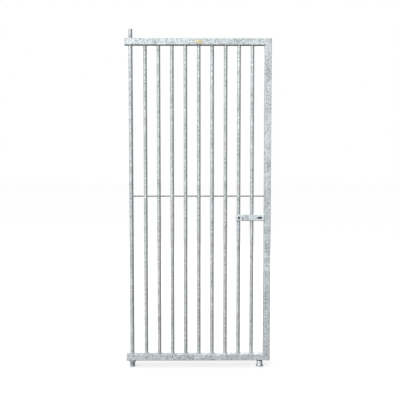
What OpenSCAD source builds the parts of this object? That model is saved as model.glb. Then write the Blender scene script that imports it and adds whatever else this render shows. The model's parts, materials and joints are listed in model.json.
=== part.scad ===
// Barred kennel gate leaf: a square-tube frame with round upright bars, a hinge rod that turns
// in a flanged pivot cup, a rest foot under the latch side and a slide latch.
// The origin is on the hinge axis, where the pivot cup stands on the ground. +X runs along the
// leaf towards the latch, +Z is up and the latch case stands on the -Y face.

/* [Leaf] */
// Width of the leaf, from the free ends of the rails to the outside of the latch post
leaf_w = 900; // [700:10:1300]
// Height of the leaf, from the underside of the bottom rail to the top of the post
leaf_h = 2000; // [1400:10:2400]
// Outside width of the square frame tube
tube_w = 40; // [34:1:60]
// Wall of the square frame tube
tube_wall = 2; // [1.5:0.5:4]
// Outside corner radius of the square frame tube
tube_r = 3; // [2:0.5:5]
// Thickness of the plates that close the tube ends
cap_t = 2; // [1:0.5:4]
// Vent hole left in the rail end plates and in the post's foot plate for the zinc bath
vent_d = 8; // [5:1:12]

/* [Bars] */
// Number of upright bars
bar_count = 9; // [5:1:13]
// Outside diameter of an upright bar
bar_d = 22; // [16:1:27]
// Wall of an upright bar
bar_wall = 1.5; // [1:0.5:3]
// Clear gap between the first bar and the hinge rod, and between the last bar and the post
bar_end_gap = 65; // [45:1:90]
// How far a bar reaches through the rail's inner wall
bar_plug = 12; // [5:1:20]

/* [Cross rod] */
// Diameter of the rod that ties the bars together
cross_d = 8; // [6:1:10]
// Height of the cross rod above the underside of the bottom rail
cross_h = 1035; // [600:5:1200]

/* [Hinge rod] */
// Diameter of the hinge rod between the rails
rod_d = 25; // [18:1:28]
// Distance from the hinge axis to the free ends of the rails
rod_inset = 36; // [26:1:60]
// How much thinner than the rod its two turned ends are
journal_step = 1; // [0.5:0.5:3]
// Height of the top pivot pin above the top rail
pin_h = 58; // [30:1:90]
// Chamfer at the end of the top pivot pin
pin_chamfer = 2; // [1:0.5:4]
// Length of the separate piece of tube that the top of the hinge rod passes through
block_l = 82; // [70:1:85]

/* [Pivot cup] */
// Height of the leaf's underside above the ground
ground_gap = 40; // [30:1:80]
// Outside diameter of the cup's barrel
cup_d = 30; // [30:1:36]
// Diameter of the cup's flange
flange_d = 42; // [38:1:55]
// Thickness of the cup's flange
flange_t = 9.6; // [4:0.2:12]
// Thickness of the cup's floor
cup_floor = 4; // [3:1:8]

/* [Rest foot] */
// Diameter of the foot's body
foot_d = 36; // [28:1:45]
// Diameter of the foot's bottom flange
foot_flange_d = 43; // [37:1:55]
// Thickness of the foot's bottom flange
foot_flange_t = 10; // [5:1:14]
// Length of bare stud between the foot and the bottom rail
foot_neck = 5; // [3:1:15]
// Diameter of the stud
stud_d = 12; // [8:1:16]
// Length of the stud inside the foot and inside the rail
stud_grip = 14; // [8:1:18]

/* [Latch] */
// Height of the latch's centre line above the underside of the bottom rail
latch_h = 901.5; // [500:0.5:1200]
// Height of the latch case
case_h = 40; // [36:1:60]
// Sheet thickness of the latch case
case_t = 3; // [2:0.5:4]
// Depth of the latch case in front of the bars
case_depth = 14.8; // [13:0.2:24]
// Bend radius on the outside of the latch case
case_r = 4.5; // [3.5:0.5:6]
// How far the case reaches past the outer bar that it is screwed to
case_over = 8; // [4:1:14]
// Length of the window in the case
window_l = 31; // [24:1:40]
// Height of the window in the case
window_h = 12; // [10:1:16]
// Distance from the post to the near end of the window
window_inset = 14; // [10:1:20]
// Distance from the free end of the case to the slit in its lower half
slit_inset = 42; // [30:1:46]
// Width of the slit
slit_w = 4; // [1:0.5:5]
// Height of the slit above the case's lower edge
slit_h = 25; // [10:1:28]

/* [Latch bolt] */
// Height of the flat bolt
bolt_h = 24; // [18:1:28]
// Thickness of the flat bolt
bolt_t = 6; // [5:0.5:8]
// Length of bolt between its tail and the window
bolt_tail = 60; // [30:1:70]
// How far the bolt's nose lies inside the outer face of the post when it is drawn back
bolt_recess = 2; // [0:0.5:10]
// Diameter of the hole by which the bolt is drawn through the window
grip_d = 8; // [6:0.5:10]
// Width of the lips that keep the bolt from the case's front
guide_lip = 4; // [2:0.5:6]
// How far the guides reach past the bolt's tail
guide_over = 10; // [0:1:12]
// Thickness of the plate that closes the back of the case between the last bar and the post
back_t = 2; // [1:0.5:3]

/* [Screw] */
// Diameter of the screw's shank
screw_d = 8; // [5:1:10]
// Width across the flats of the screw's head
head_af = 13; // [10:1:17]
// Height of the screw's head
head_h = 5.5; // [4:0.5:8]
// Length of the screw's shank inside the bar
screw_bite = 7; // [4:0.5:8]

/* [Name plate] */
// Width of the oval plate
plate_w = 56; // [40:1:90]
// Height of the oval plate
plate_h = 29; // [20:1:29]
// Thickness of the oval plate
plate_t = 1.5; // [1:0.5:3]
// Distance from the hinge axis to the plate's centre
plate_x = 420; // [200:5:500]
// How far the plate's centre lies below the top rail's centre line
plate_drop = 2; // [0:0.5:2]

/* [Clearances] */
// Radial gap round a bar, rod, stud or screw in its drilled hole
hole_gap = 0.2; // [0.1:0.1:0.5]
// Radial running gap of the hinge rod in the pivot cup
run_gap = 0.1; // [0.05:0.05:0.3]
// Gap under the hinge rod's end, and between the cup's flange and the bottom rail
thrust_gap = 0.4; // [0.2:0.1:0.8]
// Gap round the latch bolt in its guides and in the post
slide_gap = 0.5; // [0.3:0.1:1]
// Gap between the latch case and the front of the bars
case_gap = 0.2; // [0:0.1:0.5]
// Distance from the grip hole to the window's end when the bolt is drawn back
grip_inset = 1; // [0.5:0.5:2]

/* [Hidden] */
$fn = 64;
fuse = 0.5;

// Heights
rail_z = ground_gap;
top_z = ground_gap + leaf_h;
bars_from_z = rail_z + tube_w;
bars_to_z = top_z - tube_w;
cross_z = rail_z + cross_h;
latch_z = rail_z + latch_h;

// Places along the leaf
free_x = -rod_inset;
post_out_x = leaf_w - rod_inset;
post_x = post_out_x - tube_w;
block_end_x = free_x + block_l;
first_bar_x = rod_d / 2 + bar_end_gap + bar_d / 2;
last_bar_x = post_x - bar_end_gap - bar_d / 2;
bar_pitch = (last_bar_x - first_bar_x) / (bar_count - 1);
foot_x = post_x - foot_flange_d / 2 - 1;

// Hinge
journal_d = rod_d - journal_step;
bore_d = journal_d + 2 * run_gap;

// Latch
latch_bar = bar_count - 1;
latch_bar_x = bar_x(latch_bar);
case_x = latch_bar_x - bar_d / 2 - case_over;
case_back_y = -bar_d / 2 - case_gap;
case_front_y = case_back_y - case_depth;
case_in_y = case_front_y + case_t;
case_lower_z = latch_z - case_h / 2;
case_upper_z = latch_z + case_h / 2;
window_to_x = post_x - window_inset;
window_from_x = window_to_x - window_l;
bolt_back_y = -bar_d / 2 - slide_gap;
bolt_front_y = bolt_back_y - bolt_t;
bolt_from_x = window_from_x - bolt_tail;
bolt_to_x = post_out_x - bolt_recess;
grip_x = window_from_x + grip_inset + grip_d / 2;
guide_from_x = bolt_from_x - guide_over;

function bar_x(i) = first_bar_x + (i - 1) * bar_pitch;

// ---- helpers ----

// A square tube's outline as a solid of length l along +Z, centred on the Z axis.
module tube_solid(w, r, l) {
    translate([-w / 2 + r, -w / 2, 0]) cube([w - 2 * r, w, l]);
    translate([-w / 2, -w / 2 + r, 0]) cube([w, w - 2 * r, l]);
    for (x = [-1, 1], y = [-1, 1])
        translate([x * (w / 2 - r), y * (w / 2 - r), 0]) cylinder(r = r, h = l);
}

// A square tube of length l along +Z, open at both ends.
module tube(l) {
    difference() {
        tube_solid(tube_w, tube_r, l);
        translate([0, 0, -1])
            tube_solid(tube_w - 2 * tube_wall, max(tube_r - tube_wall, 0.5), l + 2);
    }
}

// A square tube along +X from x0 to x1, with its axis at height z.
module tube_x(x0, x1, z) {
    translate([x0, 0, z]) rotate([90, 0, 90]) tube(x1 - x0);
}

// A plate that closes the end of a square tube, from x to x + cap_t.
module end_plate_x(x, z) {
    translate([x, 0, z]) rotate([90, 0, 90]) tube_solid(tube_w, tube_r, cap_t);
}

// A round drill along Z through the wall that lies between z0 and z1.
module drill_z(x, d, z0, z1) {
    translate([x, 0, z0]) cylinder(d = d, h = z1 - z0);
}

// ---- frame ----

module top_rail() {
    color("#c9ced1") difference() {
        tube_x(block_end_x, post_x, top_z - tube_w / 2);
        for (i = [1 : bar_count])
            drill_z(bar_x(i), bar_d + 2 * hole_gap, bars_to_z - 1, bars_to_z + tube_wall + 1);
    }
}

module upper_hinge_block() {
    color("#cfd3d6") difference() {
        tube_x(free_x + cap_t, block_end_x, top_z - tube_w / 2);
        drill_z(0, rod_d + 2 * hole_gap, bars_to_z - 1, top_z + 1);
    }
}

module bottom_rail() {
    color("#b9bfc3") difference() {
        tube_x(free_x + cap_t, post_x, rail_z + tube_w / 2);
        for (i = [1 : bar_count])
            drill_z(bar_x(i), bar_d + 2 * hole_gap, bars_from_z - tube_wall - 1, bars_from_z + 1);
        drill_z(0, rod_d + 2 * hole_gap, rail_z - 1, bars_from_z + 1);
        drill_z(foot_x, stud_d + 2 * hole_gap, rail_z - 1, rail_z + tube_wall + 1);
    }
}

module latch_post() {
    post_mid_x = post_x + tube_w / 2;
    slot_y = bolt_front_y - slide_gap;
    color("#c4c9cc") difference() {
        translate([post_mid_x, 0, rail_z + cap_t]) tube(leaf_h - 2 * cap_t);
        translate([post_x - 1, slot_y, latch_z - bolt_h / 2 - slide_gap])
            cube([tube_w + 2, bolt_t + 2 * slide_gap, bolt_h + 2 * slide_gap]);
    }
}

module rail_end_cap(z) {
    color("#bfc5c8") difference() {
        end_plate_x(free_x, z);
        translate([free_x - 1, 0, z]) rotate([0, 90, 0]) cylinder(d = vent_d, h = cap_t + 2);
    }
}

module top_rail_end_cap() rail_end_cap(top_z - tube_w / 2);

module bottom_rail_end_cap() rail_end_cap(rail_z + tube_w / 2);

module post_top_cap() {
    color("#cfd3d6") translate([post_x + tube_w / 2, 0, top_z - cap_t])
        tube_solid(tube_w, tube_r, cap_t);
}

module post_foot_cap() {
    color("#b4babd") translate([post_x + tube_w / 2, 0, rail_z]) difference() {
        tube_solid(tube_w, tube_r, cap_t);
        translate([0, 0, -1]) cylinder(d = vent_d, h = cap_t + 2);
    }
}

// ---- bars and rods ----

// One upright tube, drilled for the cross rod. The bar that carries the latch case is also
// drilled in front for the screw.
module bar(i) {
    color("#c6cbce") translate([bar_x(i), 0, 0]) difference() {
        translate([0, 0, bars_from_z - bar_plug])
            cylinder(d = bar_d, h = bars_to_z - bars_from_z + 2 * bar_plug);
        translate([0, 0, bars_from_z - bar_plug - 1])
            cylinder(d = bar_d - 2 * bar_wall, h = bars_to_z - bars_from_z + 2 * bar_plug + 2);
        translate([-bar_d, 0, cross_z]) rotate([0, 90, 0])
            cylinder(d = cross_d + 2 * hole_gap, h = 2 * bar_d);
        if (i == latch_bar)
            translate([0, 0, latch_z]) rotate([90, 0, 0])
                cylinder(d = screw_d + 2 * hole_gap, h = bar_d);
    }
}

module cross_rod() {
    color("#9aa0a3") translate([rod_d / 2, 0, cross_z]) rotate([0, 90, 0])
        cylinder(d = cross_d, h = post_x - rod_d / 2);
}

// The hinge rod passes through both rails. Its turned lower end runs in the pivot cup and its
// turned upper end is the top pivot pin.
module hinge_rod() {
    journal_z = cup_floor + thrust_gap;
    color("#c6cbce") {
        translate([0, 0, journal_z]) cylinder(d = journal_d, h = rail_z - journal_z);
        translate([0, 0, rail_z]) cylinder(d = rod_d, h = leaf_h);
        translate([0, 0, top_z]) cylinder(d = journal_d, h = pin_h - pin_chamfer);
        translate([0, 0, top_z + pin_h - pin_chamfer])
            cylinder(d1 = journal_d, d2 = journal_d - 2 * pin_chamfer, h = pin_chamfer);
    }
}

// ---- pivot cup and rest foot ----

module pivot_cup() {
    cup_h = ground_gap - thrust_gap;
    color("#aeb4b7") difference() {
        union() {
            cylinder(d = cup_d, h = cup_h);
            translate([0, 0, cup_h - flange_t]) cylinder(d = flange_d, h = flange_t);
        }
        translate([0, 0, cup_floor]) cylinder(d = bore_d, h = cup_h);
    }
}

module foot_stud() {
    color("#8f9598") translate([foot_x, 0, ground_gap - foot_neck - stud_grip])
        cylinder(d = stud_d, h = foot_neck + tube_wall + 2 * stud_grip);
}

module rest_foot() {
    foot_h = ground_gap - foot_neck;
    color("#a9b0b4") translate([foot_x, 0, 0]) difference() {
        union() {
            cylinder(d = foot_flange_d, h = foot_flange_t);
            cylinder(d = foot_d, h = foot_h);
        }
        translate([0, 0, foot_h - stud_grip])
            cylinder(d = stud_d + 2 * hole_gap, h = stud_grip + 1);
    }
}

// ---- latch ----

// A box that is rounded along its two front edges and at its free end, seen from the front.
module case_solid(inset) {
    r = max(case_r - inset, 0.5);
    x0 = case_x + inset;
    y0 = case_front_y + inset;
    z0 = case_lower_z + inset;
    z1 = case_upper_z - inset;
    l = post_x - x0 + (inset > 0 ? 1 : 0);
    d = case_back_y - y0 + (inset > 0 ? 1 : 0);
    intersection() {
        union() {
            translate([x0, y0 + r, z0]) cube([l, d - r, z1 - z0]);
            translate([x0, y0, z0 + r]) cube([l, d, z1 - z0 - 2 * r]);
            for (z = [z0 + r, z1 - r])
                translate([x0, y0 + r, z]) rotate([0, 90, 0]) cylinder(r = r, h = l);
        }
        union() {
            translate([x0 + r, y0, z0]) cube([l - r, d, z1 - z0]);
            translate([x0, y0, z0 + r]) cube([l, d, z1 - z0 - 2 * r]);
            for (z = [z0 + r, z1 - r])
                translate([x0 + r, y0 + d, z]) rotate([90, 0, 0]) cylinder(r = r, h = d);
        }
    }
}

module window_cut() {
    r = window_h / 2;
    for (x = [window_from_x + r, window_to_x - r])
        translate([x, case_in_y + 1, latch_z]) rotate([90, 0, 0]) cylinder(r = r, h = case_t + 2);
    translate([window_from_x + r, case_front_y - 1, latch_z - r])
        cube([window_l - 2 * r, case_t + 2, window_h]);
}

module latch_case() {
    color("#bcc2c5") difference() {
        case_solid(0);
        case_solid(case_t);
        window_cut();
        translate([case_x + slit_inset, case_front_y - 1, case_lower_z - 1])
            cube([slit_w, case_depth + 2, slit_h + 1]);
        translate([latch_bar_x, case_in_y + 1, latch_z]) rotate([90, 0, 0])
            cylinder(d = screw_d + 2 * hole_gap, h = case_t + 2);
    }
}

// An angle strip inside the case that guides one edge of the bolt. side is 1 above, -1 below.
module latch_guide(side) {
    edge = bolt_h / 2 + slide_gap;
    depth = case_back_y - case_front_y;
    lip_back_y = bolt_front_y - slide_gap;
    l = post_x - guide_from_x;
    color("#a4aaad") intersection() {
        case_solid(case_t);
        translate([guide_from_x, case_front_y, latch_z]) mirror([0, 0, side < 0 ? 1 : 0]) {
            translate([0, 0, edge]) cube([l, depth, case_h]);
            translate([0, 0, edge - guide_lip]) cube([l, lip_back_y - case_front_y, case_h]);
        }
    }
}

module upper_latch_guide() latch_guide(1);

module lower_latch_guide() latch_guide(-1);

// Seated on the back edges of the case and welded to the post.
module latch_back_plate() {
    from_x = last_bar_x + bar_d / 2 - case_gap;
    color("#adb3b6") translate([from_x, case_back_y, case_lower_z])
        cube([post_x - from_x, back_t, case_h]);
}

module latch_bolt() {
    color("#45484a") difference() {
        translate([bolt_from_x, bolt_front_y, latch_z - bolt_h / 2])
            cube([bolt_to_x - bolt_from_x, bolt_t, bolt_h]);
        translate([grip_x, bolt_back_y + 1, latch_z]) rotate([90, 0, 0])
            cylinder(d = grip_d, h = bolt_t + 2);
    }
}

module latch_screw() {
    shank_to_y = -bar_d / 2 + screw_bite;
    color("#45484a") translate([latch_bar_x, case_front_y, latch_z]) rotate([90, 0, 0]) {
        cylinder(d = head_af / cos(30), h = head_h, $fn = 6);
        translate([0, 0, case_front_y - shank_to_y])
            cylinder(d = screw_d, h = shank_to_y - case_front_y + fuse);
    }
}

// ---- name plate ----

module name_plate() {
    steps = 48;
    outline = [for (k = [0 : steps - 1])
        [plate_w / 2 * cos(360 * k / steps), plate_h / 2 * sin(360 * k / steps)]];
    color("#d9c98c") translate([plate_x, -tube_w / 2, top_z - tube_w / 2 - plate_drop])
        rotate([90, 0, 0])
            linear_extrude(height = plate_t) polygon(outline);
}

top_rail();
upper_hinge_block();
bottom_rail();
latch_post();
top_rail_end_cap();
bottom_rail_end_cap();
post_top_cap();
post_foot_cap();
hinge_rod();
cross_rod();
for (i = [1 : bar_count])
    bar(i);
pivot_cup();
foot_stud();
rest_foot();
latch_case();
latch_back_plate();
upper_latch_guide();
lower_latch_guide();
latch_screw();
latch_bolt();
name_plate();
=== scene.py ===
"""Looks of a barred kennel gate leaf in hot-dip zinc.

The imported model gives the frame, the bars and everything that moves. This script adds the welds,
the zinc's beads and drips, the pressed latch case, its screw, the turned feet and the domed
badge, and gives every surface its finish. Lengths are in metres.
"""

import json
import logging
import math
from collections.abc import Callable, Iterator
from contextlib import contextmanager
from dataclasses import dataclass, field
from enum import Enum

import bmesh
import bpy
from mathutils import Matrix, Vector


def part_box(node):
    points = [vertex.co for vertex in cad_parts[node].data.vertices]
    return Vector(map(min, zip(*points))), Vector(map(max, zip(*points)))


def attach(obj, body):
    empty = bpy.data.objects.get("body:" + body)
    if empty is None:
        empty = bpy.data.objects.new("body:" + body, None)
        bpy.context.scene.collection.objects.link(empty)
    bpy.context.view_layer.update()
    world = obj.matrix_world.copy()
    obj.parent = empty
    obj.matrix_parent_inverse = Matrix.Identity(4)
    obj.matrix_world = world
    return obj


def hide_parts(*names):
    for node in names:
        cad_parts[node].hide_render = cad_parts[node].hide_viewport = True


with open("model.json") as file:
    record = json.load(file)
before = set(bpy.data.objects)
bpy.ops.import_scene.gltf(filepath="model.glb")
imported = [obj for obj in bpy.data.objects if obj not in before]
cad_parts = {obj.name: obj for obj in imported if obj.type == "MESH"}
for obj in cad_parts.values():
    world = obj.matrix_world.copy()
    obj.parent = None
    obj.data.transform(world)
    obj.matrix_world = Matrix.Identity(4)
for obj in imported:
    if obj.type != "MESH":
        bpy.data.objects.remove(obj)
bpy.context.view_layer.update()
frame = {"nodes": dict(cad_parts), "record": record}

log = logging.getLogger("kennel_gate")
MM = 0.001
Point = tuple[float, float, float]


class Axis(Enum):
    """The direction that a ring's hole or a bead's length runs along."""

    X = (0.0, math.pi / 2, 0.0)
    Y = (math.pi / 2, 0.0, 0.0)
    Z = (0.0, 0.0, 0.0)


class Slot(Enum):
    """The record's material slots."""

    FRAME = "galvanised_frame"
    BAR = "galvanised_bar"
    LATCH = "galvanised_latch"
    PLATED = "zinc_plated"
    BLACK = "blackened_steel"
    PIVOT = "galvanised_pivot"
    BADGE = "domed_badge"


class Body(Enum):
    """The rigid bodies that pieces ride on."""

    PIVOT = "pivot"
    LEAF = "leaf"
    BOLT = "bolt"


# ---- shader nodes -------------------------------------------------------------------------


class Graph:
    """Adds and links the nodes of one shader tree."""

    def __init__(self, tree: bpy.types.NodeTree) -> None:
        """Keeps the tree that nodes are added to."""
        self.tree = tree

    def node(self, kind: str, inputs: dict | None = None, **settings: object) -> bpy.types.Node:
        """Adds a node.

        Args:
            kind: The node type's name after "ShaderNode".
            inputs: A value or an output socket for each named or numbered input.
            settings: The node's own attributes.

        Returns:
            The new node.
        """
        made = self.tree.nodes.new("ShaderNode" + kind)
        for name, value in settings.items():
            setattr(made, name, value)
        for key, value in (inputs or {}).items():
            if isinstance(value, bpy.types.NodeSocket):
                self.tree.links.new(value, made.inputs[key])
            else:
                made.inputs[key].default_value = value
        return made

    def math(self, operation: str, *values: object, clamp: bool = False) -> bpy.types.NodeSocket:
        """Returns the result of a math node on numbers or sockets."""
        inputs = dict(enumerate(values))
        return self.node("Math", inputs, operation=operation, use_clamp=clamp).outputs[0]

    def span(
        self, value: object, low: object, high: object, to_low: object, to_high: object
    ) -> bpy.types.NodeSocket:
        """Returns value mapped smoothly from one range to another, held at its ends."""
        inputs = {"Value": value, "From Min": low, "From Max": high, "To Min": to_low, "To Max": to_high}
        return self.node("MapRange", inputs, interpolation_type="SMOOTHSTEP").outputs["Result"]

    def mix(self, share: object, first: object, second: object, blend: str = "MIX") -> bpy.types.NodeSocket:
        """Returns a colour between two, or one blended on the other."""
        made = self.node("Mix", data_type="RGBA", blend_type=blend)
        for index, value in ((0, share), (6, first), (7, second)):
            if isinstance(value, bpy.types.NodeSocket):
                self.tree.links.new(value, made.inputs[index])
            else:
                made.inputs[index].default_value = value
        return made.outputs[2]


class GroupMaker:
    """Builds the shader node groups that several finishes share, each once."""

    @staticmethod
    def start(name: str, inputs: dict[str, float], outputs: dict[str, str]) -> tuple[Graph, dict, dict]:
        """Starts a group.

        Args:
            name: The group's name.
            inputs: Each number input and its default.
            outputs: Each output and its socket type.

        Returns:
            The group's graph, its input sockets and its output sockets, by name.
        """
        tree = bpy.data.node_groups.new(name, "ShaderNodeTree")
        for label, value in inputs.items():
            socket = tree.interface.new_socket(label, in_out="INPUT", socket_type="NodeSocketFloat")
            socket.default_value = value
        for label, kind in outputs.items():
            tree.interface.new_socket(label, in_out="OUTPUT", socket_type=kind)
        entry = tree.nodes.new("NodeGroupInput")
        leave = tree.nodes.new("NodeGroupOutput")
        return Graph(tree), dict(entry.outputs.items()), dict(leave.inputs.items())

    @classmethod
    def spangle(cls) -> bpy.types.NodeTree:
        """Returns the group that draws the crystals of a zinc coat.

        Its outputs are a tone for each crystal, a mask of the brightest ones, broad clouds, a fine
        height, and a normal that leans a little differently on each crystal.
        """
        number, vector = "NodeSocketFloat", "NodeSocketVector"
        graph, given, out = cls.start(
            "zinc_spangle",
            {"Crystal": 0.012, "Lean": 0.1},
            {"Tone": number, "Speck": number, "Cloud": number, "Height": number, "Normal": vector},
        )
        place = graph.node("TexCoord").outputs["Object"]
        bend = graph.node("TexNoise", {"Vector": place, "Scale": 55.0, "Detail": 2.0}).outputs["Color"]
        shift = graph.node("VectorMath", {0: bend, 1: (0.5, 0.5, 0.5)}, operation="SUBTRACT").outputs[0]
        wobble = graph.node("VectorMath", {0: shift, "Scale": 0.012}, operation="SCALE").outputs[0]
        bent = graph.node("VectorMath", {0: place, 1: wobble}, operation="ADD").outputs[0]
        per_metre = graph.math("DIVIDE", 1.0, given["Crystal"])
        cells = graph.node("TexVoronoi", {"Vector": bent, "Scale": per_metre}).outputs["Color"]
        channels = graph.node("SeparateColor", {0: cells}).outputs
        grain_scale = graph.math("MULTIPLY", per_metre, 1.6)
        grains = graph.node("TexVoronoi", {"Vector": bent, "Scale": grain_scale}).outputs["Color"]
        grain = graph.node("SeparateColor", {0: grains}).outputs
        broad = graph.math("MULTIPLY", channels[0], 0.55)
        narrow = graph.math("MULTIPLY", grain[0], 0.45)
        both = graph.math("ADD", broad, narrow)
        cloud = graph.node("TexNoise", {"Vector": place, "Scale": 15.0, "Detail": 3.0}).outputs[0]
        fine = graph.node("TexNoise", {"Vector": place, "Scale": 420.0, "Detail": 3.0}).outputs[0]
        lean = graph.node("VectorMath", {0: cells, 1: (0.5, 0.5, 0.5)}, operation="SUBTRACT").outputs[0]
        leant = graph.node("VectorMath", {0: lean, "Scale": given["Lean"]}, operation="SCALE").outputs[0]
        facing = graph.node("NewGeometry").outputs["Normal"]
        turned = graph.node("VectorMath", {0: facing, 1: leant}, operation="ADD").outputs[0]
        normal = graph.node("VectorMath", {0: turned}, operation="NORMALIZE").outputs[0]
        graph.tree.links.new(graph.span(both, 0.25, 0.75, 0.0, 1.0), out["Tone"])
        graph.tree.links.new(graph.span(grain[1], 0.8, 0.86, 0.0, 1.0), out["Speck"])
        graph.tree.links.new(cloud, out["Cloud"])
        graph.tree.links.new(fine, out["Height"])
        graph.tree.links.new(normal, out["Normal"])
        return graph.tree

    @classmethod
    def runs(cls) -> bpy.types.NodeTree:
        """Returns the group that draws the upright runs left as molten zinc drains."""
        graph, given, out = cls.start(
            "zinc_runs", {"Width": 0.01, "Length": 0.25}, {"Mask": "NodeSocketFloat"}
        )
        place = graph.node("TexCoord").outputs["Object"]
        across = graph.math("DIVIDE", 1.0, given["Width"])
        along = graph.math("DIVIDE", 1.0, given["Length"])
        stretch = graph.node("CombineXYZ", {0: across, 1: across, 2: along}).outputs[0]
        drawn = graph.node("VectorMath", {0: place, 1: stretch}, operation="MULTIPLY").outputs[0]
        streak = graph.node("TexNoise", {"Vector": drawn, "Scale": 1.0, "Detail": 2.0}).outputs[0]
        graph.tree.links.new(graph.span(streak, 0.42, 0.68, 0.0, 1.0), out["Mask"])
        return graph.tree

    @classmethod
    def dross(cls) -> bpy.types.NodeTree:
        """Returns the group that draws the small pimples and pits in a zinc coat."""
        graph, given, out = cls.start(
            "zinc_dross", {"Spacing": 0.02}, {"Mask": "NodeSocketFloat", "Height": "NodeSocketFloat"}
        )
        place = graph.node("TexCoord").outputs["Object"]
        per_metre = graph.math("DIVIDE", 1.0, given["Spacing"])
        near = graph.node("TexVoronoi", {"Vector": place, "Scale": per_metre}).outputs["Distance"]
        swell = graph.node("TexNoise", {"Vector": place, "Scale": 60.0, "Detail": 2.0}).outputs[0]
        pimple = graph.span(near, 0.06, 0.16, 1.0, 0.0)
        graph.tree.links.new(pimple, out["Mask"])
        graph.tree.links.new(graph.math("ADD", graph.math("MULTIPLY", pimple, 0.4), swell), out["Height"])
        return graph.tree

    @classmethod
    def corner_shade(cls) -> bpy.types.NodeTree:
        """Returns the group that finds inside corners by occlusion, for the painted shade that finishes put
        there.
        """
        graph, given, out = cls.start("corner_shade", {"Reach": 0.012}, {"Mask": "NodeSocketFloat"})
        # Painted shade: occlusion marks the corners that the finishes darken.
        hidden = graph.node("AmbientOcclusion", {"Distance": given["Reach"]}, samples=8).outputs["AO"]
        graph.tree.links.new(graph.span(hidden, 0.35, 0.9, 1.0, 0.0), out["Mask"])
        return graph.tree


class Groups:
    """The shared node groups, made on first use."""

    _made: dict[str, bpy.types.NodeTree] = {}

    @classmethod
    def use(cls, graph: Graph, name: str, **values: float) -> dict[str, bpy.types.NodeSocket]:
        """Places a group in a material.

        Args:
            graph: The material's graph.
            name: The maker's name in GroupMaker.
            values: Values for the group's inputs, by name in lower case.

        Returns:
            The group's outputs by name.
        """
        if name not in cls._made:
            cls._made[name] = getattr(GroupMaker, name)()
        placed = graph.node("Group", node_tree=cls._made[name])
        for label, value in values.items():
            placed.inputs[label.capitalize()].default_value = value
        return dict(placed.outputs.items())


# ---- finishes -----------------------------------------------------------------------------


def grey(level: float, blue: float = 0.0) -> tuple[float, float, float, float]:
    """Returns a linear grey, a little towards blue-green where blue is above 0."""
    return (level * (1 - blue), level, level * (1 + 0.5 * blue), 1.0)


@dataclass(frozen=True)
class ZincFinish:
    """A coat of hot-dip zinc."""

    name: str
    light: float
    dark: float
    blue: float = 0.05
    speck: float = 0.6
    crystal: float = 0.012
    lean: float = 0.12
    run_share: float = 0.15
    metallic: float = 0.55
    rough_low: float = 0.36
    rough_high: float = 0.6
    bump: float = 0.25
    dross_spacing: float = 0.03

    def make(self) -> bpy.types.Material:
        """Builds the material."""
        made = bpy.data.materials.new(self.name)
        made.use_nodes = True
        graph = Graph(made.node_tree)
        shader = made.node_tree.nodes["Principled BSDF"]
        spangle = Groups.use(graph, "spangle", crystal=self.crystal, lean=self.lean)
        runs = Groups.use(graph, "runs")["Mask"]
        dross = Groups.use(graph, "dross", spacing=self.dross_spacing)
        corner = Groups.use(graph, "corner_shade")["Mask"]
        tone = graph.math(
            "ADD",
            graph.math("MULTIPLY", spangle["Tone"], 0.7),
            graph.math("MULTIPLY", graph.span(spangle["Cloud"], 0.3, 0.7, 0.0, 1.0), 0.3),
        )
        coat = graph.mix(tone, grey(self.dark, self.blue), grey(self.light, self.blue))
        body = graph.mix(graph.math("MULTIPLY", spangle["Speck"], self.speck), coat, grey(0.97, self.blue))
        run_share = graph.math("MULTIPLY", runs, self.run_share)
        drained = graph.mix(run_share, body, grey(self.light * 1.12))
        spotted = graph.mix(graph.math("MULTIPLY", dross["Mask"], 0.35), drained, grey(self.dark * 0.7))
        # Painted shade: inside corners are darkened towards a dark grey of the coat.
        shaded_in_corners = graph.mix(graph.math("MULTIPLY", corner, 0.45), spotted, grey(self.dark * 0.45))
        graph.tree.links.new(shaded_in_corners, shader.inputs["Base Color"])
        rough = graph.span(tone, 0.1, 0.9, self.rough_high, self.rough_low)
        graph.tree.links.new(rough, shader.inputs["Roughness"])
        shader.inputs["Metallic"].default_value = self.metallic
        height = graph.math("ADD", graph.math("MULTIPLY", spangle["Height"], 0.12), dross["Height"])
        relief = graph.node(
            "Bump",
            {"Strength": self.bump, "Distance": 0.6 * MM, "Height": height, "Normal": spangle["Normal"]},
        )
        graph.tree.links.new(relief.outputs[0], shader.inputs["Normal"])
        return made


@dataclass(frozen=True)
class PlatedFinish:
    """Bright zinc plate on a fastener or a rubbed part."""

    name: str
    level: float = 0.55

    def make(self) -> bpy.types.Material:
        """Builds the material."""
        made = bpy.data.materials.new(self.name)
        made.use_nodes = True
        graph = Graph(made.node_tree)
        shader = made.node_tree.nodes["Principled BSDF"]
        place = graph.node("TexCoord").outputs["Object"]
        haze = graph.node("TexNoise", {"Vector": place, "Scale": 240.0, "Detail": 4.0}).outputs[0]
        corner = Groups.use(graph, "corner_shade")["Mask"]
        body = graph.mix(haze, grey(self.level * 0.85), grey(self.level * 1.1, 0.02))
        # Painted shade: inside corners are darkened towards a dark grey.
        shaded_in_corners = graph.mix(graph.math("MULTIPLY", corner, 0.5), body, grey(self.level * 0.4))
        graph.tree.links.new(shaded_in_corners, shader.inputs["Base Color"])
        graph.tree.links.new(graph.span(haze, 0.3, 0.7, 0.22, 0.4), shader.inputs["Roughness"])
        shader.inputs["Metallic"].default_value = 0.9
        relief = graph.node("Bump", {"Strength": 0.15, "Distance": 0.2 * MM, "Height": haze})
        graph.tree.links.new(relief.outputs[0], shader.inputs["Normal"])
        return made


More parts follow.
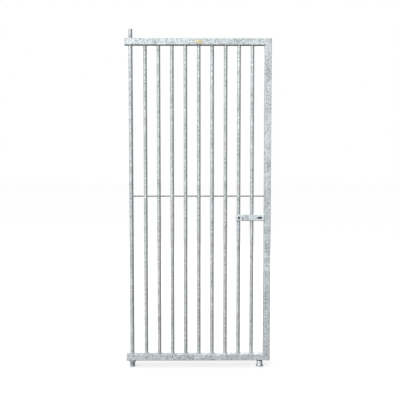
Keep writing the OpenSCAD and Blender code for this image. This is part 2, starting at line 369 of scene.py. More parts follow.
@dataclass(frozen=True)
class ResinFinish:
    """Coloured metal foil under a clear domed resin."""

    name: str
    centre: tuple[float, float, float, float]
    edge: tuple[float, float, float, float]
    roughness: float = 0.25
    metallic: float = 0.25

    def make(self) -> bpy.types.Material:
        """Builds the material."""
        made = bpy.data.materials.new(self.name)
        made.use_nodes = True
        graph = Graph(made.node_tree)
        shader = made.node_tree.nodes["Principled BSDF"]
        place = graph.node("TexCoord").outputs["Object"]
        fleck = graph.node("TexNoise", {"Vector": place, "Scale": 900.0, "Detail": 2.0}).outputs[0]
        shade = graph.span(fleck, 0.35, 0.65, 0.0, 1.0)
        graph.tree.links.new(graph.mix(shade, self.centre, self.edge), shader.inputs["Base Color"])
        graph.tree.links.new(
            graph.span(fleck, 0.3, 0.7, self.roughness, self.roughness + 0.12), shader.inputs["Roughness"]
        )
        shader.inputs["Metallic"].default_value = self.metallic
        shader.inputs["Coat Weight"].default_value = 0.8
        shader.inputs["Coat Roughness"].default_value = 0.06
        return made


FINISHES = {
    "frame": ZincFinish("zinc_on_square_tube", light=0.93, dark=0.35, blue=0.08, crystal=0.0065),
    "bar": ZincFinish(
        "zinc_on_bars", light=0.76, dark=0.37, blue=0.055, crystal=0.007, run_share=0.25, dross_spacing=0.05
    ),
    # Painted shade: the cross rod is the bars' zinc, made darker for the shade it lies in behind the bars.
    "rod": ZincFinish("cross_rod_zinc_with_painted_shade", light=0.48, dark=0.22, blue=0.02, crystal=0.006, speck=0.2),
    "latch": ZincFinish("zinc_on_sheet", light=1.0, dark=0.5, blue=0.08, crystal=0.007, run_share=0.1),
    "pivot": ZincFinish(
        "zinc_on_turned_steel", light=0.8, dark=0.42, blue=0.06, crystal=0.006, run_share=0.1
    ),
    "weld": ZincFinish("zinc_on_welds", light=0.9, dark=0.6, crystal=0.005, bump=0.5, rough_low=0.3),
    "plated": PlatedFinish("bright_zinc_plate"),
    # Near-black steel for the bolt, the screw head and the spring. On the latch bolt this tone is painted
    # shade: it stands for the shade inside the case's window.
    "blackened": PlatedFinish("near_black_steel", level=0.045),
    "foil": ResinFinish("champagne_foil", (0.68, 0.55, 0.27, 1), (0.84, 0.74, 0.48, 1)),
    "rim": ResinFinish(
        "cream_rim", (0.97, 0.95, 0.78, 1), (1.0, 0.98, 0.86, 1), roughness=0.35, metallic=0.0
    ),
    # The badge's backing: a dark border round the oval, and painted shade where its near-black stands for the
    # shadow under the badge.
    "bronze": ResinFinish("dark_badge_back_with_painted_shade", (0.1, 0.09, 0.06, 1), (0.16, 0.14, 0.09, 1), metallic=0.6),
}
SLOT_FINISH = {
    Slot.FRAME: "frame",
    Slot.BAR: "bar",
    Slot.LATCH: "latch",
    Slot.PIVOT: "pivot",
    Slot.PLATED: "plated",
    # The bolt's slot: its near-black is painted shade for the inside of the case's window.
    Slot.BLACK: "blackened",
    Slot.BADGE: "foil",
}


class Paint:
    """Makes each finish once and puts it on pieces."""

    _made: dict[str, bpy.types.Material] = {}

    @classmethod
    def get(cls, name: str) -> bpy.types.Material:
        """Returns the material of a finish in FINISHES."""
        if name not in cls._made:
            cls._made[name] = FINISHES[name].make()
        return cls._made[name]

    @classmethod
    def coat(cls, piece: bpy.types.Object, name: str) -> None:
        """Gives a piece one finish all over."""
        piece.data.materials.clear()
        piece.data.materials.append(cls.get(name))


# ---- modelling with operators -------------------------------------------------------------


class Bench:
    """Models one object at a time with Blender's own operators."""

    @staticmethod
    def pick(*pieces: bpy.types.Object) -> None:
        """Selects only these pieces and makes the first one active."""
        bpy.ops.object.select_all(action="DESELECT")
        for piece in pieces:
            piece.select_set(True)
        bpy.context.view_layer.objects.active = pieces[0] if pieces else None

    @staticmethod
    def take(name: str) -> bpy.types.Object:
        """Names the object that an operator has just added, and returns it."""
        piece = bpy.context.active_object
        piece.name = name
        piece.data.name = name
        return piece

    @staticmethod
    @contextmanager
    def editing(piece: bpy.types.Object) -> Iterator[None]:
        """Opens a piece in edit mode, and closes it at the end."""
        Bench.pick(piece)
        bpy.ops.object.mode_set(mode="EDIT")
        yield
        bpy.ops.object.mode_set(mode="OBJECT")

    @staticmethod
    def choose(piece: bpy.types.Object, test: Callable[[Vector], bool], kind: str = "VERT") -> None:
        """Selects the vertices, edges or faces of a piece in edit mode whose middle passes a test."""
        bpy.ops.mesh.select_mode(type=kind)
        bpy.ops.mesh.select_all(action="DESELECT")
        mesh = bmesh.from_edit_mesh(piece.data)
        if kind == "VERT":
            for vert in mesh.verts:
                vert.select_set(test(vert.co))
        elif kind == "EDGE":
            for edge in mesh.edges:
                edge.select_set(test((edge.verts[0].co + edge.verts[1].co) / 2))
        else:
            for face in mesh.faces:
                face.select_set(test(face.calc_center_median()))
        mesh.select_flush_mode()
        bmesh.update_edit_mesh(piece.data)

    @staticmethod
    def settle(piece: bpy.types.Object) -> None:
        """Moves the object's own place, turn and size into its mesh."""
        Bench.pick(piece)
        bpy.ops.object.transform_apply(location=True, rotation=True, scale=True)

    @staticmethod
    def apply(piece: bpy.types.Object, kind: str, **settings: object) -> None:
        """Adds a modifier to a piece, sets it and applies it."""
        Bench.pick(piece)
        modifier = piece.modifiers.new(kind.lower(), kind)
        for name, value in settings.items():
            setattr(modifier, name, value)
        bpy.ops.object.modifier_apply(modifier=modifier.name)

    @staticmethod
    def soften(piece: bpy.types.Object, width: float, segments: int = 3) -> None:
        """Rounds every sharp edge of a piece by width."""
        Bench.apply(
            piece, "BEVEL", width=width, segments=segments, limit_method="ANGLE", angle_limit=math.radians(35)
        )

    @staticmethod
    def roughen(piece: bpy.types.Object, grain: float, depth: float) -> None:
        """Makes a surface uneven.

        Args:
            piece: The piece, with its place in its mesh.
            grain: The size of the bumps.
            depth: The height from hollow to bump.
        """
        clouds = bpy.data.textures.new(piece.name + "_unevenness", "CLOUDS")
        clouds.noise_scale = grain
        Bench.apply(piece, "DISPLACE", texture=clouds, texture_coords="LOCAL", strength=depth, mid_level=0.5)

    @staticmethod
    def shade(piece: bpy.types.Object, degrees: float = 40.0) -> None:
        """Shades a piece smooth, apart from edges sharper than an angle."""
        Bench.pick(piece)
        bpy.ops.object.shade_smooth_by_angle(angle=math.radians(degrees))

    @staticmethod
    def face_outwards(piece: bpy.types.Object) -> None:
        """Merges doubled points and turns every face outwards."""
        with Bench.editing(piece):
            bpy.ops.mesh.select_all(action="SELECT")
            bpy.ops.mesh.remove_doubles(threshold=0.00001)
            bpy.ops.mesh.normals_make_consistent(inside=False)

    @staticmethod
    def fit_out(
        piece: bpy.types.Object, slot: Slot, finish: str, body: Body = Body.LEAF, replaces: str | None = None
    ) -> bpy.types.Object:
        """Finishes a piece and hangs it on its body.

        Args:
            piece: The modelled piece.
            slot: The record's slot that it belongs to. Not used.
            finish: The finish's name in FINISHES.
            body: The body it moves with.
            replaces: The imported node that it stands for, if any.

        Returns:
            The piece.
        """
        Bench.shade(piece)
        Paint.coat(piece, finish)
        if replaces is not None:
            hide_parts(replaces)
        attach(piece, body.value)
        log.info("%s: %d faces, rides on %s", piece.name, len(piece.data.polygons), body.value)
        return piece


class Shapes:
    """The start shapes that several sub-assemblies share."""

    @staticmethod
    def ring(
        name: str, centre: Point, axis: Axis, radius: float, bead: float, squat: float = 1.0
    ) -> bpy.types.Object:
        """Models a bead that runs round a bar.

        Args:
            name: The piece's name.
            centre: The middle of the ring.
            axis: The bar's direction.
            radius: The ring's radius at the middle of the bead.
            bead: The bead's own radius.
            squat: The bead's thickness along the bar as a share of its thickness across.

        Returns:
            The ring, with its place in its mesh.
        """
        bpy.ops.object.select_all(action="DESELECT")
        bpy.ops.mesh.primitive_torus_add(
            major_radius=radius, minor_radius=bead, major_segments=56, minor_segments=14
        )
        piece = Bench.take(name)
        with Bench.editing(piece):
            bpy.ops.mesh.select_all(action="SELECT")
            bpy.ops.transform.resize(value=(1, 1, squat), center_override=(0, 0, 0))
        piece.rotation_euler = axis.value
        piece.location = centre
        Bench.settle(piece)
        return piece

    @staticmethod
    def bead(name: str, start: Point, end: Point, radius: float, flat: float = 1.0) -> bpy.types.Object:
        """Models a straight bead with round ends.

        Args:
            name: The piece's name.
            start: The middle of its first end.
            end: The middle of its last end.
            radius: The bead's radius.
            flat: Its thickness as a share of its width.

        Returns:
            The bead, with its place in its mesh.
        """
        first, last = Vector(start), Vector(end)
        length = (last - first).length
        bpy.ops.object.select_all(action="DESELECT")
        bpy.ops.mesh.primitive_uv_sphere_add(segments=16, ring_count=11, radius=radius)
        piece = Bench.take(name)
        with Bench.editing(piece):
            Bench.choose(piece, lambda co: co.z > 0)
            bpy.ops.transform.translate(value=(0, 0, length))
            Bench.choose(piece, lambda co: 0.2 * length < co.z < 0.8 * length, "EDGE")
            bpy.ops.mesh.subdivide(number_cuts=max(3, int(length / radius)))
            bpy.ops.mesh.select_all(action="SELECT")
            bpy.ops.transform.resize(value=(1, flat, 1), center_override=(0, 0, 0))
        piece.rotation_euler = (last - first).to_track_quat("Z", "Y").to_euler()
        piece.location = start
        Bench.settle(piece)
        return piece

    @staticmethod
    def turned(
        name: str, outline: list[tuple[float, float]], x: float, segments: int = 72
    ) -> bpy.types.Object:
        """Models a piece as a lathe would turn it.

        Args:
            name: The piece's name.
            outline: Radius and height of each ring, from the bottom face to the last face.
            x: Where its upright axis stands along the leaf.
            segments: Points in each ring.

        Returns:
            The closed piece, with its place in its mesh.
        """
        radius, height = outline[0]
        bpy.ops.object.select_all(action="DESELECT")
        bpy.ops.mesh.primitive_circle_add(
            vertices=segments, radius=radius, fill_type="NGON", location=(x, 0, height)
        )
        piece = Bench.take(name)
        Bench.settle(piece)
        with Bench.editing(piece):
            bpy.ops.mesh.select_mode(type="FACE")
            bpy.ops.mesh.select_all(action="SELECT")
            for next_radius, next_height in outline[1:]:
                step = (0, 0, next_height - height)
                bpy.ops.mesh.extrude_region_move(TRANSFORM_OT_translate={"value": step})
                share = next_radius / radius
                bpy.ops.transform.resize(value=(share, share, 1), center_override=(x, 0, next_height))
                radius, height = next_radius, next_height
        Bench.face_outwards(piece)
        return piece

    @staticmethod
    def block(name: str, low: Point, high: Point) -> bpy.types.Object:
        """Adds a box between two corners, to be shaped further."""
        first, last = Vector(low), Vector(high)
        bpy.ops.object.select_all(action="DESELECT")
        bpy.ops.mesh.primitive_cube_add(size=1, location=(first + last) / 2, scale=last - first)
        piece = Bench.take(name)
        Bench.settle(piece)
        return piece

    @staticmethod
    def tube_ring(name: str, x: float, z: float, side: float, corner: float, bead: float) -> bpy.types.Object:
        """Models a bead that runs round a square tube lying along the leaf.

        Args:
            name: The piece's name.
            x: Where the bead lies along the tube.
            z: The height of the tube's axis.
            side: The tube's outside width.
            corner: The tube's corner radius.
            bead: The bead's radius.

        Returns:
            The closed bead, with its place in its mesh.
        """
        bpy.ops.object.select_all(action="DESELECT")
        bpy.ops.mesh.primitive_plane_add(size=side, location=(x, 0, z), rotation=(0, math.pi / 2, 0))
        piece = Bench.take(name)
        Bench.settle(piece)
        with Bench.editing(piece):
            bpy.ops.mesh.select_all(action="SELECT")
            bpy.ops.mesh.bevel(offset=corner, segments=4, affect="VERTICES")
            bpy.ops.mesh.select_all(action="SELECT")
            bpy.ops.mesh.delete(type="ONLY_FACE")
            bpy.ops.mesh.select_all(action="SELECT")
            bpy.ops.mesh.subdivide(number_cuts=3)
        Bench.pick(piece)
        bpy.ops.object.convert(target="CURVE")
        piece.data.bevel_depth = bead
        piece.data.bevel_resolution = 3
        bpy.ops.object.convert(target="MESH")
        Bench.face_outwards(bpy.context.active_object)
        return Bench.take(name)


# ---- sub-assemblies -----------------------------------------------------------------------


@dataclass
class Frame:
    """The welded tubes: adds their weld beads."""

    fillet: float = 2.4 * MM
    seam: float = 1.1 * MM
    bar_count: int = 9
    rails: tuple[str, str] = ("bottom_rail", "top_rail")
    welds: list[bpy.types.Object] = field(default_factory=list)

    def weld(self, piece: bpy.types.Object, depth: float = 1.0 * MM) -> None:
        """Roughens a bead and adds it to the leaf."""
        Bench.roughen(piece, 3.5 * MM, depth)
        self.welds.append(Bench.fit_out(piece, Slot.FRAME, "weld"))

    def weld_bars(self) -> None:
        """Rings each bar where it enters a rail."""
        inner_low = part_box("bottom_rail")[1].z
        inner_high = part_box("top_rail")[0].z
        for number in range(1, self.bar_count + 1):
            low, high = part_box(f"bar_{number}")
            x, radius = (low.x + high.x) / 2, (high.x - low.x) / 2
            for end, z in (("foot", inner_low), ("head", inner_high)):
                name = f"weld_bar_{number}_{end}"
                self.weld(Shapes.ring(name, (x, 0, z), Axis.Z, radius + 0.4 * MM, self.fillet))

    def weld_hinge_rod(self) -> None:
        """Rings the hinge rod above and below the upper block and above the bottom rail."""
        low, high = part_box("hinge_rod")
        radius = (high.x - low.x) / 2
        block_low, block_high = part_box("upper_hinge_block")
        places = {
            "weld_rod_foot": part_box("bottom_rail")[1].z,
            "weld_rod_head": block_low.z,
            "weld_top_pin": block_high.z,
        }
        for name, z in places.items():
            wide = name == "weld_top_pin"
            bead = self.fillet * (1.5 if wide else 1.1)
            self.weld(Shapes.ring(name, (0, 0, z), Axis.Z, radius + 0.2 * MM, bead), 1.4 * MM)

    def weld_corners(self) -> None:
        """Runs a fillet across each inside corner of a rail and the latch post."""
        post_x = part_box("latch_post")[0].x
        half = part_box("latch_post")[1].y - 3 * MM
        for rail, z in (("bottom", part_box("bottom_rail")[1].z), ("top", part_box("top_rail")[0].z)):
            ends = (post_x, -half, z), (post_x, half, z)
            self.weld(Shapes.bead(f"weld_{rail}_corner", *ends, self.fillet * 1.2))

    def weld_seams(self) -> None:
        """Runs beads round the block's seam and the rail ends."""
        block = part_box("upper_hinge_block")
        z = (block[0].z + block[1].z) / 2
        side = block[1].z - block[0].z
        self.weld(Shapes.tube_ring("weld_block_seam", block[1].x, z, side, 3 * MM, self.seam), 0.7 * MM)
        for rail in self.rails:
            low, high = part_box(rail + "_end_cap")
            middle = (low.z + high.z) / 2
            name = f"weld_{rail}_end"
            inset = side - 1.6 * MM
            self.weld(Shapes.tube_ring(name, high.x, middle, inset, 3 * MM, self.seam), 0.5 * MM)

    def build(self) -> None:
        """Adds every bead of the frame."""
        self.weld_bars()
        self.weld_hinge_rod()
        self.weld_corners()
        self.weld_seams()
        log.info("frame: %d weld beads", len(self.welds))


@dataclass
class CrossRod:
    """The thin rod through the bars: adds the zinc that gathers where it enters each bar."""

    bead: float = 1.9 * MM
    bar_count: int = 9

    def build(self) -> None:
        """Adds a bead on both sides of each bar, and one at each end of the rod."""
        low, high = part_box("cross_rod")
        z, radius = (low.z + high.z) / 2, (high.z - low.z) / 2
        places = {"rod_bead_hinge": low.x, "rod_bead_post": high.x}
        for number in range(1, self.bar_count + 1):
            bar_low, bar_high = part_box(f"bar_{number}")
            places[f"rod_bead_{number}_left"] = bar_low.x + 0.4 * MM
            places[f"rod_bead_{number}_right"] = bar_high.x - 0.4 * MM
        for name, x in places.items():
            ring = Shapes.ring(name, (x, 0, z), Axis.X, radius + 0.6 * MM, self.bead, squat=0.9)
            Bench.roughen(ring, 3 * MM, 0.8 * MM)
            Bench.fit_out(ring, Slot.BAR, "weld")
        log.info("cross rod: %d beads", len(places))


@dataclass
class Drips:
    """Small tears of zinc that hang from the lowest edges.

    Each spot is a share of the rail's length, a share of its half width and a share of the
    longest tear.
    """

    longest: float = 3.2 * MM
    spots: tuple[Point, ...] = (
        (0.12, -0.9, 0.8),
        (0.31, 0.85, 1.0),
        (0.47, -0.88, 0.6),
        (0.63, 0.8, 0.9),
        (0.86, -0.86, 0.7),
    )

    def build(self) -> None:
        """Hangs a few tears under the bottom rail."""
        low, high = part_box("bottom_rail")
        reach = (high.y - low.y) / 2 - 2 * MM
        for number, (along, across, share) in enumerate(self.spots, 1):
            size = self.longest * share
            place = (low.x + along * (high.x - low.x), across * reach, low.z)
            bpy.ops.object.select_all(action="DESELECT")
            bpy.ops.mesh.primitive_uv_sphere_add(segments=16, ring_count=10, radius=size / 2, location=place)
            piece = Bench.take(f"zinc_drip_{number}")
            Bench.settle(piece)
            with Bench.editing(piece):
                Bench.choose(piece, lambda co, tip=low.z - size * 0.45: co.z < tip)
                bpy.ops.transform.translate(value=(0, 0, -size * 0.5))
            Bench.apply(piece, "SUBSURF", levels=1, render_levels=1)
            Bench.fit_out(piece, Slot.FRAME, "weld")


@dataclass
class Latch:
    """The pressed case, its screw and the flat bolt behind its window."""

    wall: float = 3.0 * MM
    bend: float = 4.5 * MM
    window: tuple[float, float] = (31.0 * MM, 12.0 * MM)
    window_inset: float = 14.0 * MM
    slit_inset: float = 42.0 * MM
    slit_width: float = 4.0 * MM
    slit_height: float = 25.0 * MM
    washer_radius: float = 8.5 * MM
    washer_height: float = 1.4 * MM

    def cut(self, piece: bpy.types.Object, cutter: bpy.types.Object) -> None:
        """Cuts one piece out of another and removes the cutter."""
        Bench.apply(piece, "BOOLEAN", operation="DIFFERENCE", object=cutter, solver="EXACT")
        bpy.data.objects.remove(cutter)

    def slot_cutter(self, low: Point, high: Point) -> bpy.types.Object:
        """Models a long hole with round ends that runs through the front of the case."""
        piece = Shapes.block("window_cutter", low, high)
        with Bench.editing(piece):
            ends = (low[0] + 0.1 * MM, high[0] - 0.1 * MM)
            mid_z = (low[2] + high[2]) / 2
            mesh = bmesh.from_edit_mesh(piece.data)
            bpy.ops.mesh.select_mode(type="EDGE")
            bpy.ops.mesh.select_all(action="DESELECT")
            for edge in mesh.edges:
                middle = (edge.verts[0].co + edge.verts[1].co) / 2
                at_end = middle.x < ends[0] or middle.x > ends[1]
                off_middle = abs(middle.z - mid_z) > 1 * MM
                runs_back = abs(middle.y - edge.verts[0].co.y) > 0.1 * MM
                edge.select_set(at_end and off_middle and runs_back)
            bmesh.update_edit_mesh(piece.data)
            radius = (high[2] - low[2]) / 2
            bpy.ops.mesh.bevel(offset=radius * 0.999, segments=12, affect="EDGES")
        return piece

    def build_case(self) -> None:
        """Folds the case from sheet, then cuts its window, its slit and its free end."""
        low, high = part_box("latch_case")
        piece = Shapes.block("latch_case_pressed", low, high)
        with Bench.editing(piece):
            Bench.choose(piece, lambda co: co.y > high.y - 0.1 * MM or co.x > high.x - 0.1 * MM, "FACE")
            bpy.ops.mesh.delete(type="FACE")
            Bench.choose(piece, lambda co: self.is_bend(co, low, high), "EDGE")
            bpy.ops.mesh.bevel(offset=self.bend, segments=6, affect="EDGES")
        Bench.apply(piece, "SOLIDIFY", thickness=self.wall, offset=-1, use_even_offset=True)
        mid_z = (low.z + high.z) / 2
        right = high.x - self.window_inset
        half = self.window[1] / 2
        depth = (low.y - 2 * MM, low.y + self.wall + 2 * MM)
        self.cut(
            piece,
            self.slot_cutter(
                (right - self.window[0], depth[0], mid_z - half), (right, depth[1], mid_z + half)
            ),
        )
        slit_x = low.x + self.slit_inset
        self.cut(
            piece,
            Shapes.block(
                "slit_cutter",
                (slit_x, low.y - 2 * MM, low.z - 2 * MM),
                (slit_x + self.slit_width, high.y + 2 * MM, low.z + self.slit_height),
            ),
        )
        Bench.soften(piece, 0.35 * MM, 2)
        Bench.fit_out(piece, Slot.LATCH, "latch", replaces="latch_case")
        Bench.apply(piece, "WEIGHTED_NORMAL", keep_sharp=True)

    @staticmethod
    def is_bend(middle: Vector, low: Vector, high: Vector) -> bool:
        """Tells whether an edge's middle lies on a bend of the case."""
        front = middle.y < low.y + 0.1 * MM
        left = middle.x < low.x + 0.1 * MM
        long_edge = front and (abs(middle.z - low.z) < 0.1 * MM or abs(middle.z - high.z) < 0.1 * MM)
        return long_edge or (front and left) or (left and abs(middle.z - (low.z + high.z) / 2) > 1 * MM)

    def build_screw(self) -> None:
        """Models the hexagon screw with its washer and its chamfered, dimpled head."""
        low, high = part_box("latch_screw")
        x, z = (low.x + high.x) / 2, (low.z + high.z) / 2
        face_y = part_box("latch_case")[0].y
        across = high.z - low.z
        bpy.ops.object.select_all(action="DESELECT")
        bpy.ops.mesh.primitive_cylinder_add(
            vertices=6,
            radius=across / math.sqrt(3),
            depth=face_y - self.washer_height - low.y,
            location=(x, (low.y + face_y - self.washer_height) / 2, z),
            rotation=Axis.Y.value,
        )
        head = Bench.take("latch_screw_head")
        Bench.settle(head)
        self.chamfer_head(head, x, z, low.y, across)
        Bench.face_outwards(head)
        with Bench.editing(head):
            Bench.choose(head, lambda co: co.y < low.y + 0.02 * MM, "FACE")
            bpy.ops.mesh.dissolve_faces()
            Bench.choose(head, lambda co: co.y < low.y + 0.02 * MM, "FACE")
            bpy.ops.mesh.inset(thickness=1.6 * MM, depth=0)
            bpy.ops.mesh.inset(thickness=0.8 * MM, depth=-0.4 * MM)
        Bench.face_outwards(head)
        Bench.fit_out(head, Slot.BLACK, "blackened", replaces="latch_screw")
        Bench.apply(head, "WEIGHTED_NORMAL", keep_sharp=True)
        bpy.ops.object.select_all(action="DESELECT")
        bpy.ops.mesh.primitive_cylinder_add(
            vertices=48,
            radius=self.washer_radius,
            depth=self.washer_height,
            location=(x, face_y - self.washer_height / 2, z),
            rotation=Axis.Y.value,
        )
        washer = Bench.take("latch_screw_washer")
        Bench.settle(washer)
        Bench.soften(washer, 0.4 * MM)
        Bench.fit_out(washer, Slot.PLATED, "plated")

    def chamfer_head(self, head: bpy.types.Object, x: float, z: float, front: float, across: float) -> None:
        """Cuts the corners of a hexagon head with a wide cone, as the real head is turned."""
        bpy.ops.object.select_all(action="DESELECT")
        depth = 8 * MM
        bpy.ops.mesh.primitive_cone_add(
            vertices=64,
            radius1=across / 2 * 0.95 + depth * math.sqrt(3),
            radius2=across / 2 * 0.95,
            depth=depth,
            location=(x, front + depth / 2, z),
            rotation=Axis.Y.value,
        )
        cone = Bench.take("head_cone")
        Bench.settle(cone)
        Bench.apply(head, "BOOLEAN", operation="INTERSECT", object=cone, solver="EXACT")
        bpy.data.objects.remove(cone)

    def build_spring(self) -> None:
        """Bends the leaf spring that closes the slit from inside."""
        low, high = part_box("latch_case")
        x = low.x + self.slit_inset + self.slit_width / 2
        face = low.y + self.wall
        half = 9 * MM
        piece = Shapes.block(
            "latch_leaf_spring",
            (x - half, face + 0.1 * MM, low.z + self.wall + 0.5 * MM),
            (x + half, face + 1.1 * MM, high.z - self.wall - 0.5 * MM),
        )
        with Bench.editing(piece):
            Bench.choose(piece, lambda co: co.x > x + half - 0.1 * MM, "FACE")
            bpy.ops.mesh.extrude_region_move(TRANSFORM_OT_translate={"value": (5 * MM, 3 * MM, 0)})
            Bench.choose(piece, lambda co: co.x < x - half + 0.1 * MM, "FACE")
            bpy.ops.mesh.extrude_region_move(TRANSFORM_OT_translate={"value": (-5 * MM, 3 * MM, 0)})
        Bench.soften(piece, 0.3 * MM, 2)
        Bench.fit_out(piece, Slot.BLACK, "blackened")

    def build_welds(self) -> None:
        """Welds the case to the post along its upper and lower edges."""
        low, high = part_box("latch_case")
        for name, z in (("upper", high.z), ("lower", low.z)):
            start = (high.x, low.y + self.bend, z)
            end = (high.x, high.y, z)
            piece = Shapes.bead(f"weld_case_{name}", start, end, 1.6 * MM)
            Bench.roughen(piece, 3 * MM, 0.7 * MM)
            Bench.fit_out(piece, Slot.LATCH, "weld")

    def build(self) -> None:
        """Builds the whole latch."""
        self.build_case()
        self.build_screw()
        self.build_spring()
        self.build_welds()


@dataclass
class Feet:
    """The pivot cup under the hinge side and the rest foot under the latch side."""

    edge: float = 1.0 * MM
    cup_floor: float = 4.0 * MM
    bore_radius: float = 12.1 * MM

    def build_cup(self) -> None:
        """Turns the pivot cup: a barrel, a wide flange and the bore for the hinge rod."""
        low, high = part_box("pivot_cup")
        flange = (high.x - low.x) / 2
        barrel = flange - 6 * MM
        edge, top, step = self.edge, high.z, high.z - 9.6 * MM
        outline = [
            (barrel - edge, 0.0),
            (barrel, edge),
            (barrel, step - edge),
            (barrel + 0.3 * edge, step - 0.3 * edge),
            (barrel + edge, step),
            (flange - edge, step),
            (flange - 0.3 * edge, step + 0.3 * edge),
            (flange, step + edge),
            (flange, top - edge),
            (flange - 0.3 * edge, top - 0.3 * edge),
            (flange - edge, top),
            (self.bore_radius + 0.5 * MM, top),
            (self.bore_radius, top - 0.5 * MM),
            (self.bore_radius, self.cup_floor),
        ]
        Bench.fit_out(
            Shapes.turned("pivot_cup_turned", outline, 0.0), Slot.PIVOT, "pivot", Body.PIVOT, "pivot_cup"
        )

    def build_rest(self) -> None:
        """Turns the rest foot: a wide base, a round shoulder and the body round the stud."""
        low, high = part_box("rest_foot")
        x, base = (low.x + high.x) / 2, (high.x - low.x) / 2
        body = base - 3.5 * MM
        edge, top = self.edge, high.z
        shoulder = 10 * MM
        outline = [
            (base - edge, 0.0),
            (base, edge),
            (base, shoulder - 2 * edge),
            (base - 0.3 * edge, shoulder - 0.8 * edge),
            (base - 1.2 * edge, shoulder),
            (body + 0.8 * edge, shoulder + 0.4 * edge),
            (body, shoulder + 1.6 * edge),
            (body, top - 2.2 * edge),
            (body - 0.6 * edge, top - 0.8 * edge),
            (body - 2.2 * edge, top),
            (8 * MM, top),
        ]
        Bench.fit_out(
            Shapes.turned("rest_foot_turned", outline, x), Slot.PIVOT, "pivot", replaces="rest_foot"
        )
        stud_low, stud_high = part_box("foot_stud")
        radius = (stud_high.x - stud_low.x) / 2
        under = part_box("bottom_rail")[0].z
        weld = Shapes.ring("weld_foot_stud", (x, 0, under), Axis.Z, radius + 0.3 * MM, 1.5 * MM)
        Bench.roughen(weld, 3 * MM, 0.6 * MM)
        Bench.fit_out(weld, Slot.FRAME, "weld")

    def build(self) -> None:
        """Builds both feet."""
        self.build_cup()
        self.build_rest()


@dataclass
class Badge:
    """A bare oval badge: a backing plate, a bright rim and a domed face."""

    rim: float = 2.3 * MM
    lip: float = 1.2 * MM
    dome: float = 2.6 * MM

    def build(self) -> None:
        """Builds the badge on the top rail's front face."""
        low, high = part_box("name_plate")
        middle = (low + high) / 2
        width, height = (high.x - low.x) / 2, (high.z - low.z) / 2
        back = high.y
        self.build_plate(middle, width, height, back)
        self.build_rim(middle, width, height, back)
        self.build_dome(middle, width, height, back)

    def build_plate(self, middle: Vector, width: float, height: float, back: float) -> None:
        """Presses the backing plate."""
        bpy.ops.object.select_all(action="DESELECT")
        bpy.ops.mesh.primitive_cylinder_add(
            vertices=96,
            radius=1,
            depth=1,
            location=(middle.x, back - 0.5 * MM, middle.z),
            rotation=Axis.Y.value,
        )
        piece = Bench.take("badge_plate")
        piece.scale = (width, height, 1 * MM)
        Bench.settle(piece)
        Bench.soften(piece, 0.3 * MM, 2)
        # The backing's near-black is partly painted shade for the shadow under the badge.
        Bench.fit_out(piece, Slot.BADGE, "bronze", replaces="name_plate")

    def build_rim(self, middle: Vector, width: float, height: float, back: float) -> None:
        """Rolls the bright rim round the oval."""
        bpy.ops.object.select_all(action="DESELECT")
        bpy.ops.mesh.primitive_circle_add(
            vertices=96, radius=1, location=(middle.x, back - 1.0 * MM, middle.z), rotation=Axis.Y.value
        )
        piece = Bench.take("badge_rim")
        piece.scale = (width - self.rim - self.lip, height - self.rim - self.lip, 1)
        Bench.settle(piece)
        Bench.pick(piece)
        bpy.ops.object.convert(target="CURVE")
        piece.data.bevel_depth = self.rim
        piece.data.bevel_resolution = 4
        bpy.ops.object.convert(target="MESH")
        rim = Bench.take("badge_rim")
        Bench.face_outwards(rim)
        Bench.fit_out(rim, Slot.BADGE, "rim")

    def build_dome(self, middle: Vector, width: float, height: float, back: float) -> None:
        """Domes the face inside the rim."""
        bpy.ops.object.select_all(action="DESELECT")
        bpy.ops.mesh.primitive_uv_sphere_add(segments=96, ring_count=24, radius=1, rotation=Axis.Y.value)
        piece = Bench.take("badge_dome")
        piece.location = (middle.x, back - 0.6 * MM, middle.z)
        inset = self.lip + self.rim * 1.2
        piece.scale = (width - inset, height - inset, self.dome)
        Bench.settle(piece)
        with Bench.editing(piece):
            bpy.ops.mesh.select_all(action="SELECT")
            bpy.ops.mesh.bisect(
                plane_co=(middle.x, back - 0.2 * MM, middle.z),
                plane_no=(0, 1, 0),
                use_fill=True,
                clear_outer=True,
            )
        Bench.fit_out(piece, Slot.BADGE, "foil")


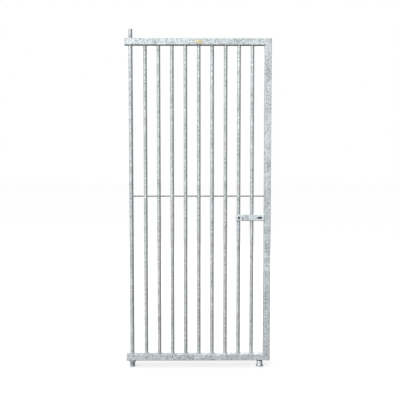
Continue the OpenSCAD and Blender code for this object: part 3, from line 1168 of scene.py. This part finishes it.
@dataclass
class Studio:
    """A white floor, soft light from the front, a dim lamp behind, and the camera.

    Each lamp is its name, place, size and power.
    """

    camera_place: Point = (0.3905, -4.034, 1.308)
    camera_turn: tuple[float, float, float] = (86.35, 0.0, -0.5)
    lens: float = 58.5
    floor_size: float = 60.0
    floor_glow: float = 0.255
    aim: Point = (0.4, 0.0, 1.1)
    lamps: tuple[tuple[str, Point, float, float], ...] = (
        ("key", (-3.0, -6.0, 5.6), 3.0, 150.0),
        ("back", (1.6, 5.0, 3.4), 2.4, 60.0),
    )

    def build_floor(self) -> None:
        """Lays the floor, which glows faintly, takes shadows and sends no light to the gate."""
        bpy.ops.object.select_all(action="DESELECT")
        bpy.ops.mesh.primitive_plane_add(size=self.floor_size)
        floor = Bench.take("floor")
        made = bpy.data.materials.new("white_floor")
        made.use_nodes = True
        shader = made.node_tree.nodes["Principled BSDF"]
        shader.inputs["Base Color"].default_value = (0.92, 0.92, 0.92, 1)
        shader.inputs["Roughness"].default_value = 1.0
        shader.inputs["Specular IOR Level"].default_value = 0.0
        shader.inputs["Emission Color"].default_value = (1, 1, 1, 1)
        shader.inputs["Emission Strength"].default_value = self.floor_glow
        floor.data.materials.append(made)
        floor.visible_diffuse = False
        floor.visible_glossy = False

    def build_world(self) -> None:
        """Lights the sky: bright in front and to the left, dim behind, below and to the right."""
        world = bpy.data.worlds.new("studio")
        bpy.context.scene.world = world
        world.use_nodes = True
        graph = Graph(world.node_tree)
        direction = graph.node("TexCoord").outputs["Generated"]
        parts = graph.node("SeparateXYZ", {0: direction}).outputs
        side = graph.span(parts["X"], -0.7, 0.95, 1.42, 0.14)
        front = graph.span(parts["Y"], -0.9, 0.2, 1.4, 0.4)
        level = graph.span(parts["Z"], 0.2, 0.85, graph.math("MULTIPLY", side, front), 0.85)
        dark_end = graph.span(parts["Y"], -0.2, 0.4, -0.5, -0.3)
        light_end = graph.span(parts["Y"], -0.2, 0.4, -0.1, 0.04)
        level = graph.math("MULTIPLY", level, graph.span(parts["Z"], dark_end, light_end, 0.03, 1.0))
        seen = graph.node("LightPath").outputs["Is Camera Ray"]
        colour = graph.mix(seen, level, (1.0, 1.0, 1.0, 1.0))
        background = world.node_tree.nodes["Background"]
        graph.tree.links.new(colour, background.inputs["Color"])

    def build_lights(self) -> None:
        """Hangs the key light at the upper left, and a dim one behind that shows the back."""
        for name, place, size, power in self.lamps:
            lamp = bpy.data.lights.new(name, "AREA")
            lamp.size = size
            lamp.energy = power
            made = bpy.data.objects.new(name, lamp)
            made.location = place
            made.rotation_euler = (Vector(self.aim) - Vector(place)).to_track_quat("-Z", "Y").to_euler()
            bpy.context.scene.collection.objects.link(made)

    def build_camera(self) -> None:
        """Sets the camera up in front of the leaf."""
        camera = bpy.data.cameras.new("camera")
        camera.lens = self.lens
        camera.sensor_width = 36.0
        made = bpy.data.objects.new("camera", camera)
        made.location = self.camera_place
        made.rotation_euler = [math.radians(angle) for angle in self.camera_turn]
        bpy.context.scene.collection.objects.link(made)
        bpy.context.scene.camera = made
        bpy.context.scene.view_settings.view_transform = "Standard"

    def build(self) -> None:
        """Builds the studio."""
        self.build_floor()
        self.build_world()
        self.build_lights()
        self.build_camera()


def dress_nodes() -> None:
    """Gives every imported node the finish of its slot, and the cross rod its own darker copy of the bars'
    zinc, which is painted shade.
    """
    slots = {part["node"]: Slot(part["material_slot"]) for part in frame["record"]["subparts"]}
    for name, node in frame["nodes"].items():
        Paint.coat(node, "rod" if name == "cross_rod" else SLOT_FINISH[slots[name]])
    log.info("dressed %d packed nodes", len(slots))


def main() -> None:
    """Builds the studio and every sub-assembly in order."""
    logging.basicConfig(level=logging.INFO, format="%(name)s: %(message)s")
    Studio().build()
    dress_nodes()
    Frame().build()
    CrossRod().build()
    Drips().build()
    Latch().build()
    Feet().build()
    Badge().build()


if __name__ == "__main__":
    main()
